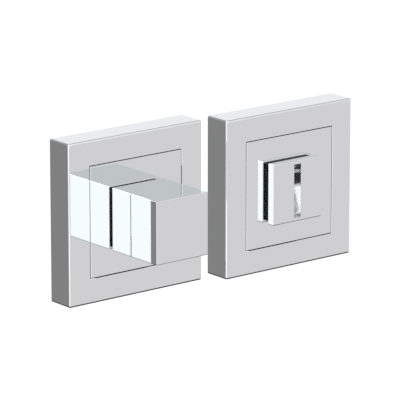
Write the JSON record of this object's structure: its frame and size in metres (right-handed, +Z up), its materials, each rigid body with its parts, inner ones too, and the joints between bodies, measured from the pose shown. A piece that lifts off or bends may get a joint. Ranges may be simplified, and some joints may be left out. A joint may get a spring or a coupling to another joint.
{
  "type": "bathroom thumb turn lock",
  "caption": "Square chromed bathroom thumb turn and matching emergency release with a coin slot, each on its own square rose, standing side by side.",
  "frame": {"origin": "centre of the turn half's back face, on its spindle axis, in the plane of the door's surface", "axes": "+X runs from the turn half to the release half, +Y points into the door along the spindle, +Z is up"},
  "size_m": [0.114, 0.0605, 0.0539],
  "materials": {
    "chrome": "polished, mirror bright",
    "zinc_plated_steel": "bright zinc plate",
    "spring_steel": "oiled, dark tempered",
    "black_acetal": "smooth moulded"
  },
  "bodies": {
    "roses": {"turn_rose_frame": "chrome", "turn_core": "chrome", "turn_mounting_plate": "zinc_plated_steel", "turn_core_screws": "zinc_plated_steel", "turn_bearing_bush": "black_acetal", "turn_wave_washer": "spring_steel", "release_rose_frame": "chrome", "release_core": "chrome", "release_mounting_plate": "zinc_plated_steel", "release_core_screws": "zinc_plated_steel", "release_bearing_bush": "black_acetal", "release_wave_washer": "spring_steel"},
    "thumb_turn": {"turn_knob": "chrome", "turn_glide_plate": "black_acetal", "turn_spindle": "zinc_plated_steel", "turn_spindle_screw": "spring_steel", "turn_stop_washer": "spring_steel", "turn_retaining_ring": "spring_steel"},
    "coin_release": {"release_button": "chrome", "release_glide_plate": "black_acetal", "release_stop_washer": "spring_steel", "release_retaining_ring": "spring_steel"}
  },
  "joints": [
    {"name": "thumb_turn_spin", "type": "hinge", "parent": "roses", "child": "thumb_turn", "pos_m": [0, 0, 0], "axis": [0, 1, 0], "range_deg": [0, 90]},
    {"name": "coin_release_spin", "type": "hinge", "parent": "roses", "child": "coin_release", "pos_m": [0.062, 0, -0.0019], "axis": [0, 1, 0], "range_deg": [0, 90]}
  ]
}
